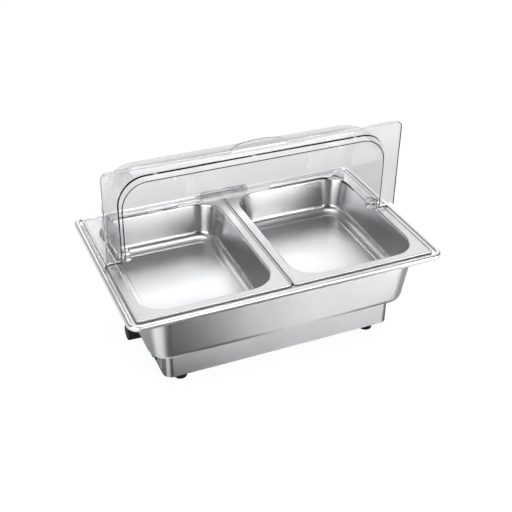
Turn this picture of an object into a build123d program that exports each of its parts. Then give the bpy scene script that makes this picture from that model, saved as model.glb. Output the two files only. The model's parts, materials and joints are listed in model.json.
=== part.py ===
from build123d import *
from math import cos, radians, sin, tan
import os

# Electric chafing dish: a heated water pan on a base, two half-size food pans and a roll-top cover.
# Millimetres, +Z up, X along the long side, the control end at -X, the front at -Y.
# The origin lies on the table, under the middle of the whole dish as it stands with its cover open.

# Food pans
pan_width = 262.0
pan_depth = 323.0
pan_drop = 65.0
pan_sheet = 1.0
pan_gap = 1.0
pan_flange = 18.0
pan_flange_rise = 1.8
pan_lip_radius = 4.0
pan_bead_width = 3.0
pan_bead_top = 4.8
pan_bead_round = 1.2
pan_corner = 8.0
pan_well_corner = 45.0
pan_bottom_round = 15.0
pan_edge_gap = 0.3
edge_reach = 0.1

# Water pan and its rim
water_sheet = 1.2
water_height = 108.0
water_draft = 8.5
water_corner = 45.0
water_bottom_round = 20.0
water_pan_clearance = 1.0
water_side_room = 12.0
recess_width = 6.2
rim_bead_width = 8.3
rim_bead_top = 4.0
rim_skirt_drop = 4.5
rim_corner = 20.0
rim_bead_round = 3.6

# Base
foot_height = 18.0
foot_top_diameter = 26.0
foot_bottom_diameter = 23.0
foot_round = 2.0
foot_inset_x = 33.0
foot_inset_y = 22.0
foot_recess_diameter = 12.0
foot_recess_depth = 10.0
base_end_inset = 21.5
base_side_inset = 15.5
base_height = 46.0
base_sheet = 1.5
base_corner = 15.0
top_flange_width = 20.0
bottom_flange_width = 26.0

# Cover
cover_wall = 2.5
cover_skirt = 2.3
cover_corner = 12.0
cover_seat_gap = 0.3
cover_skirt_clearance = 0.8
cover_skirt_gap = 0.5
cover_end_flange = 29.6
cover_side_flange = 23.6
rear_round = 45.0
rear_overlap = 20.0
shell_end_gap = 2.0
shell_gap = 4.0
hinge_rise = 20.0
stop_gap = 0.3
ear_clearance = 0.4
flange_split = 0.6
tab_width = 96.0
tab_reach = 11.0

# Hinge hardware
pin_diameter = 6.0
pin_head_diameter = 14.0
pin_head_height = 2.2
running_clearance = 0.05
washer_diameter = 14.0
star_diameter = 18.0
star_lobe_diameter = 5.2
star_lobes = 8
star_height = 11.0
side_gap = 0.3

# Controls
control_rise = 23.0
knob_inset = 44.0
knob_diameter = 30.0
knob_length = 28.0
knob_gap = 1.2
knob_round = 1.5
knob_flutes = 14
knob_flute_diameter = 3.0
knob_recess_diameter = 22.0
knob_recess_depth = 5.0
shaft_diameter = 6.0
shaft_in_knob = 14.0
shaft_in_body = 12.0
bushing_diameter = 10.0
thermostat_width = 38.0
thermostat_height = 34.0
thermostat_depth = 22.0
thermostat_nut_size = 14.0
thermostat_nut_height = 2.5
blade_length = 8.0
blade_width = 4.8
blade_thickness = 0.8
blade_pitch = 12.0
plate_width = 140.0
plate_height = 36.0
plate_y = -35.0
plate_thickness = 1.0
plate_corner = 4.0
switch_inset = 28.0
switch_width = 13.0
switch_height = 20.0
switch_depth = 20.0
switch_bezel = 1.8
switch_bezel_height = 2.0
switch_wall = 1.3
switch_well = 9.0
rocker_gap = 0.35
rocker_reach = 6.5
rocker_pivot_depth = 3.0
rocker_tilt = 7.0
rocker_dip = 1.0
rocker_pin_diameter = 2.4
rocker_pin_length = 0.9
cutout_clearance = 0.3

# Heating
spreader_end_room = 60.0
spreader_side_room = 40.0
spreader_thickness = 3.0
element_diameter = 8.0
element_gap = 0.1
element_inset = 20.0
element_turn_inset = 35.0
element_overhang = 15.0
element_side_inset = 15.0
element_bend_room = 3.0
terminal_diameter = 3.2
terminal_length = 13.0
press_thickness = 1.5
insulation_thickness = 6.0
stud_diameter = 5.0
press_stud_inset = 60.0
pan_stud_end_inset = 60.0
pan_stud_inset = 11.5
nut_size = 8.0
nut_height = 4.0
hole_clearance = 0.2
bulb_diameter = 6.0
bulb_length = 60.0
bulb_inset = 14.0
bulb_round = 1.0
bulb_gap = 0.1
clip_sheet = 1.0
clip_width = 14.0
clip_foot = 8.0
capillary_diameter = 2.0
capillary_bend = 5.0
capillary_run = 20.0
capillary_rise = 11.0
cutout_inset = 32.0
cutout_diameter = 17.0
cutout_height = 9.0

# Wiring and fasteners in the base
block_end_inset = 90.0
block_side_inset = 40.0
block_length = 40.0
block_depth = 20.0
block_pitch = 12.0
block_above_wire = 5.0
wire_diameter = 2.6
wire_bend = 5.0
screw_diameter = 4.0
screw_head_diameter = 8.0
screw_head_height = 2.5
screw_head_round = 0.8
screw_slot = 0.8
nut_room = 4.0
bottom_screw_end_inset = 120.0
bottom_screw_inset = 13.0
earth_offset = 55.0
earth_stud_height = 13.0
gland_thread_diameter = 16.0
gland_bore_diameter = 8.0
gland_cap_diameter = 19.0
gland_cap_length = 12.0
gland_hex = 20.0
gland_flange = 5.0
gland_nut_size = 22.0
gland_nut_height = 4.0
gland_thread_length = 8.0

# Levels above the table
base_top = foot_height + base_height
ledge = base_top + water_height
plate_top = foot_height + base_sheet
cover_seat = pan_bead_top + cover_seat_gap
cover_flange_top = cover_seat + cover_wall
hinge_z = ledge + hinge_rise
control_z = foot_height + control_rise

# Plan sizes worked out from the pans outwards
pans_half = pan_width + pan_gap / 2
recess_half_x = pans_half + recess_width
recess_half_y = pan_depth / 2 + recess_width
rim_half_x = recess_half_x + rim_bead_width
rim_half_y = recess_half_y + rim_bead_width
well_half_x = pans_half - pan_flange
well_half_y = pan_depth / 2 - pan_flange
water_half_x = well_half_x + pan_sheet + water_pan_clearance + water_sheet
water_half_y = well_half_y + water_side_room + water_sheet
cover_half_x = pans_half + cover_skirt_clearance + cover_skirt
cover_half_y = pan_depth / 2 + cover_skirt_clearance + cover_skirt
cover_reach = cover_half_y + tab_reach
dish_y = (rim_half_y - max(rim_half_y, cover_reach)) / 2
floor_half_x = water_half_x - water_height * tan(radians(water_draft))
floor_half_y = water_half_y - water_height * tan(radians(water_draft))
base_length = 2 * (floor_half_x - base_end_inset)
base_depth = 2 * (floor_half_y - base_side_inset)
inside_x = base_length / 2 - base_sheet
inside_y = base_depth / 2 - base_sheet

# Places of the controls on their plate
knob_y = plate_y + plate_width / 2 - knob_inset
switch_y = plate_y - plate_width / 2 + switch_inset

# Places inside the base, worked out from its walls inwards
spreader_length = base_length - 2 * spreader_end_room
spreader_depth = base_depth - 2 * spreader_side_room
element_reach = spreader_length / 2 - element_inset
element_turn = element_turn_inset - spreader_length / 2
element_end = -(spreader_length / 2 + element_overhang)
element_outer_leg = spreader_depth / 2 - element_side_inset
element_pitch = 2 * element_outer_leg / 3
element_inner_leg = element_pitch / 2
element_bend = element_pitch / 2 - element_bend_room
press_stud_x = spreader_length / 2 - press_stud_inset
press_stud_y = element_outer_leg - element_pitch / 2
pan_stud_x = base_length / 2 - pan_stud_end_inset
bottom_screw_x = base_length / 2 - bottom_screw_end_inset
cutout_x = base_length / 2 - cutout_inset
block_x = block_end_inset - base_length / 2
block_y = base_depth / 2 - block_side_inset
earth_y = block_y - earth_offset
gland_x = block_x

# Cover sizes about the hinge axis
rear_half_length = cover_half_x - cover_end_flange
rear_radius = cover_half_y - cover_side_flange
front_half_length = rear_half_length + shell_end_gap + cover_wall
front_radius = rear_radius + shell_gap + cover_wall
front_round = rear_round + shell_end_gap + cover_wall
flange_low = cover_seat - hinge_rise
flange_high = cover_flange_top - hinge_rise
skirt_low = cover_skirt_gap - hinge_rise
ear_radius = -flange_high - ear_clearance
stop_edge = -flange_high - stop_gap
hinge_point = Vector(0, dish_y, hinge_z)
upright = (0, 0, 1)
rolled_back = (0, 1, 0)


def level(height):
    """Horizontal plane centred on the dish."""
    return Plane(origin=(0, dish_y, height))


def end_face(x):
    """Upright plane across the dish at x: its X runs to the back and its Y runs up."""
    return Plane(origin=(x, dish_y, 0), x_dir=(0, 1, 0), z_dir=(1, 0, 0))


def outward(side, x):
    """Plane square to the hinge axis whose normal leaves the dish on the given side."""
    return Plane(origin=(side * x, dish_y, hinge_z), x_dir=(0, 1, 0), z_dir=(side, 0, 0))


def cover_level(up, height):
    """Plane parallel to a cover's flange, at a height over the hinge axis."""
    return Plane(origin=hinge_point + Vector(*up) * height, x_dir=(1, 0, 0), z_dir=up)


def cover_side(up, x):
    """Plane square to the hinge axis: its X runs from the cover's front to its back."""
    back = Vector(*up).cross(Vector(1, 0, 0))
    return Plane(origin=(x, dish_y, hinge_z), x_dir=back, z_dir=(1, 0, 0))


def save(piece, name):
    """Labels a finished piece and writes it under its name."""
    piece.part.label = name
    export_step(piece.part, "parts/" + name + ".step")
    print(name, len(piece.part.solids()), round(piece.part.volume))


def barrel(half_length, radius, corner):
    """Solid turned about the hinge axis, with rounded ends."""
    with BuildPart() as turned:
        with BuildSketch(Plane(origin=hinge_point, x_dir=(1, 0, 0), z_dir=(0, -1, 0))):
            with BuildLine():
                FilletPolyline(
                    (-half_length, 0), (-half_length, radius), (half_length, radius), (half_length, 0),
                    radius=corner,
                )
                Line((half_length, 0), (-half_length, 0))
            make_face()
        revolve(axis=Axis(hinge_point, (1, 0, 0)), revolution_arc=360)
    return turned.part


def well(top, half_x, half_y, corner, draft, depth, bottom_round):
    """Drawn well: a tapered block that hangs from a level, with a rounded bottom."""
    with BuildPart() as block:
        with BuildSketch(top):
            RectangleRounded(2 * half_x, 2 * half_y, corner)
        extrude(amount=-depth, taper=draft)
        fillet(block.edges().group_by(Axis.Z)[0], bottom_round)
    return block.part


def loop_at(piece, height, centre_x, half_x, half_y):
    """Edges of a piece at one height that run round a well of the given half sizes."""
    edges = piece.edges().filter_by_position(Axis.Z, height - edge_reach, height + edge_reach)
    edges = edges.filter_by(lambda edge: abs(edge.center().X - centre_x) < half_x + edge_reach)
    return edges.filter_by(lambda edge: abs(edge.center().Y - dish_y) < half_y + edge_reach)


os.makedirs("parts", exist_ok=True)

foot_spots = GridLocations(
    base_length - 2 * foot_inset_x, base_depth - 2 * foot_inset_y, 2, 2
).locations
screw_spots = GridLocations(
    2 * bottom_screw_x, base_depth - 2 * bottom_screw_inset, 2, 2
).locations
pan_stud_spots = GridLocations(
    2 * pan_stud_x, base_depth - 2 * pan_stud_inset, 2, 2
).locations
press_stud_spots = GridLocations(2 * press_stud_x, 2 * press_stud_y, 2, 2).locations

# Levels of the heating stack under the water pan
spreader_low = base_top - spreader_thickness
element_z = spreader_low - element_gap - element_diameter / 2
press_top = element_z - element_diameter / 2 - element_gap
press_low = press_top - press_thickness
insulation_low = press_low - insulation_thickness
flange_nut_low = base_top - base_sheet - nut_height
press_nut_low = press_low - nut_height

# Water pan: drawn body, ledge for the food pans, rolled rim, and weld studs underneath
water_outside = well(
    level(ledge), water_half_x, water_half_y, water_corner, water_draft, water_height, water_bottom_round
)
water_inside = well(
    level(ledge),
    water_half_x - water_sheet,
    water_half_y - water_sheet,
    water_corner - water_sheet,
    water_draft,
    water_height - water_sheet,
    water_bottom_round - water_sheet,
)
with BuildPart() as water_pan:
    with BuildSketch(level(ledge - rim_skirt_drop)):
        RectangleRounded(2 * rim_half_x, 2 * rim_half_y, rim_corner)
        RectangleRounded(
            2 * recess_half_x, 2 * recess_half_y, rim_corner - rim_bead_width, mode=Mode.SUBTRACT
        )
    extrude(amount=rim_skirt_drop + rim_bead_top)
    fillet(water_pan.edges().group_by(Axis.Z)[-1], rim_bead_round)
    with BuildSketch(level(ledge - rim_skirt_drop)):
        RectangleRounded(
            2 * (rim_half_x - water_sheet), 2 * (rim_half_y - water_sheet), rim_corner - water_sheet
        )
        RectangleRounded(
            2 * (recess_half_x + water_sheet),
            2 * (recess_half_y + water_sheet),
            rim_corner - rim_bead_width + water_sheet,
            mode=Mode.SUBTRACT,
        )
    extrude(amount=rim_skirt_drop + rim_bead_top - rim_bead_round, mode=Mode.SUBTRACT)
    with BuildSketch(level(ledge - rim_skirt_drop)):
        RectangleRounded(
            2 * (rim_half_x - water_sheet), 2 * (rim_half_y - water_sheet), rim_corner - water_sheet
        )
    extrude(amount=rim_skirt_drop - water_sheet, mode=Mode.SUBTRACT)
    with BuildSketch(level(ledge - water_sheet)):
        RectangleRounded(
            2 * (recess_half_x + water_sheet),
            2 * (recess_half_y + water_sheet),
            rim_corner - rim_bead_width + water_sheet,
        )
    extrude(amount=water_sheet)
    add(water_outside)
    add(water_inside, mode=Mode.SUBTRACT)
    with BuildSketch(level(base_top)):
        with Locations(pan_stud_spots):
            Circle(stud_diameter / 2)
    extrude(amount=-(base_top - flange_nut_low + base_sheet))
    with BuildSketch(level(base_top)):
        with Locations(press_stud_spots):
            Circle(stud_diameter / 2)
    extrude(amount=-(base_top - press_nut_low + base_sheet))
save(water_pan, "water_pan")

# Food pans: one drawn half-size pan on each side of the middle
pan_flange_top = pan_flange_rise + pan_sheet


def food_pan(side):
    """Half-size pan: flange with a raised edge bead, rounded lip and drawn well."""
    centre_x = side * (pan_width + pan_gap) / 2
    half_x = pan_width / 2 - pan_flange
    flange_plane = Plane(origin=(centre_x, dish_y, ledge + pan_flange_top))
    under_plane = flange_plane.offset(-pan_sheet)
    outside = well(
        under_plane,
        half_x + pan_sheet,
        well_half_y + pan_sheet,
        pan_well_corner + pan_sheet,
        water_draft,
        pan_drop - pan_sheet,
        pan_bottom_round + pan_sheet,
    )
    inside = well(
        flange_plane,
        half_x,
        well_half_y,
        pan_well_corner,
        water_draft,
        pan_drop - pan_sheet,
        pan_bottom_round,
    )
    with BuildPart() as pan:
        with BuildSketch(under_plane):
            RectangleRounded(pan_width, pan_depth, pan_corner)
        extrude(amount=pan_sheet)
        add(outside)
        under_lip = loop_at(
            pan, ledge + pan_flange_rise, centre_x, half_x + pan_sheet, well_half_y + pan_sheet
        )
        fillet(under_lip, pan_lip_radius + pan_sheet)
        add(inside, mode=Mode.SUBTRACT)
        lip = loop_at(pan, ledge + pan_flange_top, centre_x, half_x, well_half_y)
        fillet(lip, pan_lip_radius)
        with BuildSketch(Plane(origin=(centre_x, dish_y, ledge + pan_edge_gap))):
            RectangleRounded(pan_width, pan_depth, pan_corner)
            RectangleRounded(
                pan_width - 2 * pan_bead_width,
                pan_depth - 2 * pan_bead_width,
                pan_corner - pan_bead_width,
                mode=Mode.SUBTRACT,
            )
        extrude(amount=pan_bead_top - pan_edge_gap)
        fillet(pan.edges().group_by(Axis.Z)[-1], pan_bead_round)
    return pan


save(food_pan(-1), "food_pan_left")
save(food_pan(1), "food_pan_right")

# Base housing: folded box with an upper flange for the water pan and a lower one for the bottom plate
shaft_hole = bushing_diameter / 2 + hole_clearance
with BuildPart() as base_housing:
    with BuildSketch(level(foot_height)):
        RectangleRounded(base_length, base_depth, base_corner)
        RectangleRounded(2 * inside_x, 2 * inside_y, base_corner - base_sheet, mode=Mode.SUBTRACT)
    extrude(amount=base_height)
    for flange_low_z, flange_width in (
        (base_top - base_sheet, top_flange_width),
        (plate_top, bottom_flange_width),
    ):
        with BuildSketch(level(flange_low_z)):
            RectangleRounded(2 * inside_x, 2 * inside_y, base_corner - base_sheet)
            Rectangle(
                2 * (inside_x - flange_width), 2 * (inside_y - flange_width), mode=Mode.SUBTRACT
            )
        extrude(amount=base_sheet)
    with BuildSketch(level(base_top)):
        with Locations(pan_stud_spots):
            Circle(stud_diameter / 2 + hole_clearance)
    extrude(amount=-base_sheet, mode=Mode.SUBTRACT)
    with BuildSketch(level(plate_top)):
        with Locations(foot_spots):
            Circle(stud_diameter / 2 + hole_clearance)
        with Locations(screw_spots):
            Circle(screw_diameter / 2 + hole_clearance)
    extrude(amount=base_sheet, mode=Mode.SUBTRACT)
    with BuildSketch(end_face(-base_length / 2)):
        with Locations((knob_y, control_z)):
            Circle(shaft_hole)
        with Locations((switch_y, control_z)):
            Rectangle(switch_width + 2 * cutout_clearance, switch_height + 2 * cutout_clearance)
    extrude(amount=base_sheet, mode=Mode.SUBTRACT)
    with BuildSketch(Plane(origin=(gland_x, dish_y + base_depth / 2, control_z), z_dir=(0, 1, 0))):
        Circle(gland_thread_diameter / 2 + hole_clearance)
    extrude(amount=-base_sheet, mode=Mode.SUBTRACT)
save(base_housing, "base_housing")

# Bottom plate, closed from below
with BuildPart() as bottom_plate:
    with BuildSketch(level(foot_height)):
        RectangleRounded(
            2 * (inside_x - hole_clearance),
            2 * (inside_y - hole_clearance),
            base_corner - base_sheet - hole_clearance,
        )
        with Locations(foot_spots):
            Circle(stud_diameter / 2 + hole_clearance, mode=Mode.SUBTRACT)
        with Locations(screw_spots):
            Circle(screw_diameter / 2 + hole_clearance, mode=Mode.SUBTRACT)
    extrude(amount=base_sheet)
save(bottom_plate, "bottom_plate")

with BuildPart() as bottom_screws:
    with BuildSketch(level(foot_height)):
        with Locations(screw_spots):
            Circle(screw_head_diameter / 2)
    extrude(amount=-screw_head_height)
    fillet(bottom_screws.edges().group_by(Axis.Z)[0], screw_head_round)
    with BuildSketch(level(foot_height)):
        with Locations(screw_spots):
            Circle(screw_diameter / 2)
    extrude(amount=2 * base_sheet + nut_height)
save(bottom_screws, "bottom_screws")

# Rubber feet, one node each, with a recessed screw and a nut inside the base
foot_names = ("foot_front_left", "foot_rear_left", "foot_front_right", "foot_rear_right")
for spot, name in zip(foot_spots, foot_names):
    foot_x, foot_y = spot.position.X, spot.position.Y
    with BuildPart() as foot:
        with BuildSketch(Plane(origin=(foot_x, dish_y + foot_y, 0), x_dir=(1, 0, 0), z_dir=(0, -1, 0))):
            with BuildLine():
                Polyline(
                    (foot_recess_diameter / 2, 0),
                    (foot_bottom_diameter / 2, 0),
                    (foot_top_diameter / 2, foot_height),
                    (stud_diameter / 2 + hole_clearance, foot_height),
                    (stud_diameter / 2 + hole_clearance, foot_recess_depth),
                    (foot_recess_diameter / 2, foot_recess_depth),
                    close=True,
                )
            make_face()
        revolve(axis=Axis((foot_x, dish_y + foot_y, 0), (0, 0, 1)), revolution_arc=360)
        rim = foot.edges().group_by(Axis.Z)[0].sort_by(SortBy.RADIUS)[-1]
        fillet(rim, foot_round)
    save(foot, name)

with BuildPart() as foot_screws:
    with BuildSketch(level(foot_recess_depth)):
        with Locations(foot_spots):
            Circle(screw_head_diameter / 2)
    extrude(amount=-nut_height)
    with BuildSketch(level(foot_recess_depth)):
        with Locations(foot_spots):
            Circle(stud_diameter / 2)
    extrude(amount=foot_height - foot_recess_depth + 3 * base_sheet + nut_height)
save(foot_screws, "foot_screws")


def nuts(spots, low):
    """Hexagon nuts that sit at a level on each of the given spots."""
    with BuildPart() as ring:
        with BuildSketch(level(low)):
            with Locations(spots):
                RegularPolygon(nut_size / 2, 6, major_radius=False)
                Circle(stud_diameter / 2 + running_clearance, mode=Mode.SUBTRACT)
        extrude(amount=nut_height)
    return ring


save(nuts(foot_spots, plate_top + base_sheet), "foot_nuts")
save(nuts(pan_stud_spots, flange_nut_low), "pan_nuts")
save(nuts(press_stud_spots, press_nut_low), "press_nuts")

# Heating stack under the water pan
with BuildPart() as heat_spreader:
    with BuildSketch(level(spreader_low)):
        Rectangle(spreader_length, spreader_depth)
        with Locations(press_stud_spots):
            Circle(stud_diameter / 2 + hole_clearance, mode=Mode.SUBTRACT)
    extrude(amount=spreader_thickness)
save(heat_spreader, "heat_spreader")

with BuildPart() as heating_element:
    with BuildLine(level(element_z)) as element_path:
        FilletPolyline(
            (element_end, -element_outer_leg),
            (element_reach, -element_outer_leg),
            (element_reach, -element_inner_leg),
            (element_turn, -element_inner_leg),
            (element_turn, element_inner_leg),
            (element_reach, element_inner_leg),
            (element_reach, element_outer_leg),
            (element_end, element_outer_leg),
            radius=element_bend,
        )
    with BuildSketch(Plane(origin=(element_end, dish_y - element_outer_leg, element_z), z_dir=(1, 0, 0))):
        Circle(element_diameter / 2)
    sweep()
save(heating_element, "heating_element")

with BuildPart() as element_terminals:
    with BuildSketch(end_face(element_end)):
        with Locations((-element_outer_leg, element_z), (element_outer_leg, element_z)):
            Circle(terminal_diameter / 2)
    extrude(amount=-terminal_length)
save(element_terminals, "element_terminals")

with BuildPart() as press_plate:
    with BuildSketch(level(press_low)):
        Rectangle(spreader_length, spreader_depth)
        with Locations(press_stud_spots):
            Circle(stud_diameter / 2 + hole_clearance, mode=Mode.SUBTRACT)
    extrude(amount=press_thickness)
save(press_plate, "press_plate")

with BuildPart() as insulation_pad:
    with BuildSketch(level(insulation_low)):
        Rectangle(spreader_length, spreader_depth)
        with Locations(press_stud_spots):
            Circle(nut_size / 2 + nut_room, mode=Mode.SUBTRACT)
    extrude(amount=insulation_thickness)
save(insulation_pad, "insulation_pad")

# Thermostat behind the control end, with its bulb under the water pan
wire_z = control_z - blade_pitch / 2
upper_wire_z = control_z + blade_pitch / 2
thermostat_back = -inside_x + thermostat_depth
bushing_length = base_sheet + plate_thickness + thermostat_nut_height
blade_ys = (knob_y - blade_pitch, knob_y + blade_pitch)
knob_back = -(base_length / 2 + plate_thickness + knob_gap)
with BuildPart() as thermostat_body:
    with BuildSketch(end_face(-inside_x)):
        with Locations((knob_y, control_z)):
            Rectangle(thermostat_width, thermostat_height)
    extrude(amount=thermostat_depth)
    with BuildSketch(end_face(-inside_x)):
        with Locations((knob_y, control_z)):
            Circle(bushing_diameter / 2)
    extrude(amount=-bushing_length)
    with BuildSketch(end_face(thermostat_back)):
        for blade_y in blade_ys:
            with Locations((blade_y, upper_wire_z)):
                Rectangle(blade_thickness, blade_width)
    extrude(amount=blade_length)
    with BuildSketch(end_face(-inside_x + shaft_in_body)):
        with Locations((knob_y, control_z)):
            Circle(shaft_diameter / 2 + running_clearance)
    extrude(amount=-(shaft_in_body + bushing_length), mode=Mode.SUBTRACT)
save(thermostat_body, "thermostat_body")

with BuildPart() as thermostat_nut:
    with BuildSketch(end_face(-base_length / 2 - plate_thickness)):
        with Locations((knob_y, control_z)):
            RegularPolygon(thermostat_nut_size / 2, 6, major_radius=False)
            Circle(bushing_diameter / 2 + running_clearance, mode=Mode.SUBTRACT)
    extrude(amount=-thermostat_nut_height)
save(thermostat_nut, "thermostat_nut")

bulb_x = -(spreader_length / 2 + bulb_inset)
bulb_z = base_top - bulb_gap - bulb_diameter / 2
with BuildPart() as thermostat_bulb:
    with BuildSketch(Plane(origin=(bulb_x, dish_y, bulb_z), z_dir=(0, 1, 0))):
        Circle(bulb_diameter / 2)
    extrude(amount=bulb_length / 2, both=True)
    fillet(thermostat_bulb.edges().filter_by(GeomType.CIRCLE), bulb_round)
save(thermostat_bulb, "thermostat_bulb")

clip_inner = bulb_diameter / 2 + bulb_gap
clip_outer = clip_inner + clip_sheet
with BuildPart() as bulb_clip:
    with BuildSketch(Plane(origin=(bulb_x, dish_y, bulb_z), x_dir=(1, 0, 0), z_dir=(0, -1, 0))):
        Circle(clip_outer)
        with Locations((0, clip_inner - clip_outer / 2)):
            Rectangle(2 * clip_outer, clip_outer)
        for foot_side in (-1, 1):
            with Locations((foot_side * (clip_inner + clip_foot / 2), clip_inner - clip_sheet / 2)):
                Rectangle(clip_foot, clip_sheet)
        Circle(clip_inner, mode=Mode.SUBTRACT)
        with Locations((0, clip_inner)):
            Rectangle(2 * clip_inner, 2 * clip_inner, mode=Mode.SUBTRACT)
        with Locations((0, clip_inner)):
            Rectangle(4 * clip_foot, 2 * clip_outer, align=(Align.CENTER, Align.MIN), mode=Mode.SUBTRACT)
    extrude(amount=clip_width / 2, both=True)
save(bulb_clip, "bulb_clip")

bulb_front = -bulb_length / 2
capillary_y = bulb_front - capillary_run
capillary_x = (thermostat_back + bulb_x) / 2
capillary_z = control_z + capillary_rise
capillary_points = (
    (bulb_x, dish_y + bulb_front, bulb_z),
    (bulb_x, dish_y + capillary_y, bulb_z),
    (capillary_x, dish_y + capillary_y, bulb_z),
    (capillary_x, dish_y + capillary_y, capillary_z),
    (capillary_x, dish_y + knob_y, capillary_z),
    (thermostat_back, dish_y + knob_y, capillary_z),
)
with BuildPart() as capillary_tube:
    with BuildLine():
        FilletPolyline(*capillary_points, radius=capillary_bend)
    with BuildSketch(Plane(origin=capillary_points[0], z_dir=(0, -1, 0))):
        Circle(capillary_diameter / 2)
    sweep()
save(capillary_tube, "capillary_tube")

with BuildPart() as thermal_cutout:
    with BuildSketch(Plane(origin=(cutout_x, dish_y, base_top))):
        Circle(cutout_diameter / 2)
    extrude(amount=-cutout_height)
    with BuildSketch(Plane(origin=(cutout_x, dish_y, base_top - cutout_height))):
        with GridLocations(blade_pitch / 2, 0, 2, 1):
            Rectangle(blade_thickness, blade_width)
    extrude(amount=-blade_length)
save(thermal_cutout, "thermal_cutout")

# Knob on its shaft
with BuildPart() as thermostat_knob:
    with BuildSketch(end_face(knob_back)):
        with Locations((knob_y, control_z)):
            Circle(knob_diameter / 2)
    extrude(amount=-knob_length)
    fillet(thermostat_knob.edges().group_by(Axis.X)[0], knob_round)
    with BuildSketch(end_face(knob_back)):
        with Locations((knob_y, control_z)):
            with PolarLocations(knob_diameter / 2 + knob_flute_diameter / 4, knob_flutes):
                Circle(knob_flute_diameter / 2)
    extrude(amount=-(knob_length - 2 * knob_round), mode=Mode.SUBTRACT)
    with BuildSketch(end_face(knob_back)):
        with Locations((knob_y, control_z)):
            Circle(knob_recess_diameter / 2)
    extrude(amount=-knob_recess_depth, mode=Mode.SUBTRACT)
    with BuildSketch(end_face(knob_back)):
        with Locations((knob_y, control_z)):
            Circle(shaft_diameter / 2 + running_clearance)
    extrude(amount=-shaft_in_knob, mode=Mode.SUBTRACT)
save(thermostat_knob, "thermostat_knob")

shaft_length = shaft_in_body - side_gap + base_sheet + plate_thickness + knob_gap + shaft_in_knob
with BuildPart() as thermostat_shaft:
    with BuildSketch(end_face(knob_back - shaft_in_knob)):
        with Locations((knob_y, control_z)):
            Circle(shaft_diameter / 2)
    extrude(amount=shaft_length)
save(thermostat_shaft, "thermostat_shaft")

# Control plate and rocker switch
with BuildPart() as control_plate:
    with BuildSketch(end_face(-base_length / 2)):
        with Locations((plate_y, control_z)):
            RectangleRounded(plate_width, plate_height, plate_corner)
        with Locations((knob_y, control_z)):
            Circle(shaft_hole, mode=Mode.SUBTRACT)
        with Locations((switch_y, control_z)):
            Rectangle(
                switch_width + 2 * cutout_clearance, switch_height + 2 * cutout_clearance, mode=Mode.SUBTRACT
            )
    extrude(amount=-plate_thickness)
save(control_plate, "control_plate")

switch_face = -(base_length / 2 + plate_thickness)
bezel_face = switch_face - switch_bezel_height
pivot_x = bezel_face + rocker_pivot_depth
switch_back = switch_face + switch_depth
well_half_width = switch_width / 2 - switch_wall
well_half_height = switch_height / 2 - switch_wall
with BuildPart() as switch_housing:
    with BuildSketch(end_face(switch_face)):
        with Locations((switch_y, control_z)):
            Rectangle(switch_width, switch_height)
    extrude(amount=switch_depth)
    with BuildSketch(end_face(switch_face)):
        with Locations((switch_y, control_z)):
            RectangleRounded(switch_width + 2 * switch_bezel, switch_height + 2 * switch_bezel, switch_bezel)
    extrude(amount=-switch_bezel_height)
    with BuildSketch(end_face(bezel_face)):
        with Locations((switch_y, control_z)):
            Rectangle(2 * well_half_width, 2 * well_half_height)
    extrude(amount=switch_well + switch_bezel_height, mode=Mode.SUBTRACT)
    with BuildSketch(end_face(switch_back)):
        with Locations((switch_y, wire_z), (switch_y, upper_wire_z)):
            Rectangle(blade_width, blade_thickness)
    extrude(amount=blade_length)
    with BuildSketch(Plane(origin=(pivot_x, dish_y + switch_y, control_z), z_dir=(0, 1, 0))):
        Circle(rocker_pin_diameter / 2 + running_clearance)
    extrude(amount=well_half_width + rocker_pin_length + 2 * running_clearance, both=True, mode=Mode.SUBTRACT)
save(switch_housing, "switch_housing")

tilt = radians(rocker_tilt)
rocker_half_height = (well_half_height - rocker_gap - rocker_reach * sin(tilt)) / cos(tilt)
rocker_half_width = well_half_width - rocker_gap
rocker_plane = Plane(origin=(pivot_x, dish_y + switch_y, control_z), x_dir=(-1, 0, 0), z_dir=(0, 1, 0))
with BuildPart() as switch_rocker:
    with BuildSketch(rocker_plane):
        Polygon(
            (-rocker_pin_diameter, -rocker_half_height / 2),
            (0, -rocker_half_height),
            (rocker_reach, -rocker_half_height),
            (rocker_reach - rocker_dip, 0),
            (rocker_reach, rocker_half_height),
            (0, rocker_half_height),
            (-rocker_pin_diameter, rocker_half_height / 2),
            align=None,
            rotation=rocker_tilt,
        )
    extrude(amount=rocker_half_width, both=True)
    with BuildSketch(rocker_plane):
        Circle(rocker_pin_diameter / 2)
    extrude(amount=well_half_width + rocker_pin_length, both=True)
save(switch_rocker, "switch_rocker")

# Mains terminal block and earth stud on the bottom plate
block_front = block_y - block_depth / 2
block_height = wire_z + block_above_wire - plate_top
screw_seat = wire_z + block_above_wire / 2
with BuildPart() as terminal_block:
    with BuildSketch(Plane(origin=(block_x, dish_y + block_y, plate_top))):
        Rectangle(block_length, block_depth)
    extrude(amount=block_height)
    with BuildSketch(Plane(origin=(block_x, dish_y + block_y, plate_top + block_height))):
        with GridLocations(block_pitch, 0, 3, 1):
            Circle(screw_diameter / 2)
    extrude(amount=-block_above_wire / 2, mode=Mode.SUBTRACT)
save(terminal_block, "terminal_block")

with BuildPart() as terminal_screws:
    with BuildSketch(Plane(origin=(block_x, dish_y + block_y, plate_top + block_height))):
        with GridLocations(block_pitch, 0, 3, 1):
            Circle(screw_diameter / 2 - running_clearance)
            Rectangle(screw_diameter, screw_slot, mode=Mode.SUBTRACT)
    extrude(amount=-block_above_wire / 2 + screw_slot)
    with BuildSketch(Plane(origin=(block_x, dish_y + block_y, screw_seat))):
        with GridLocations(block_pitch, 0, 3, 1):
            Circle(screw_diameter / 2 - running_clearance)
    extrude(amount=screw_slot)
save(terminal_screws, "terminal_screws")

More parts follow.
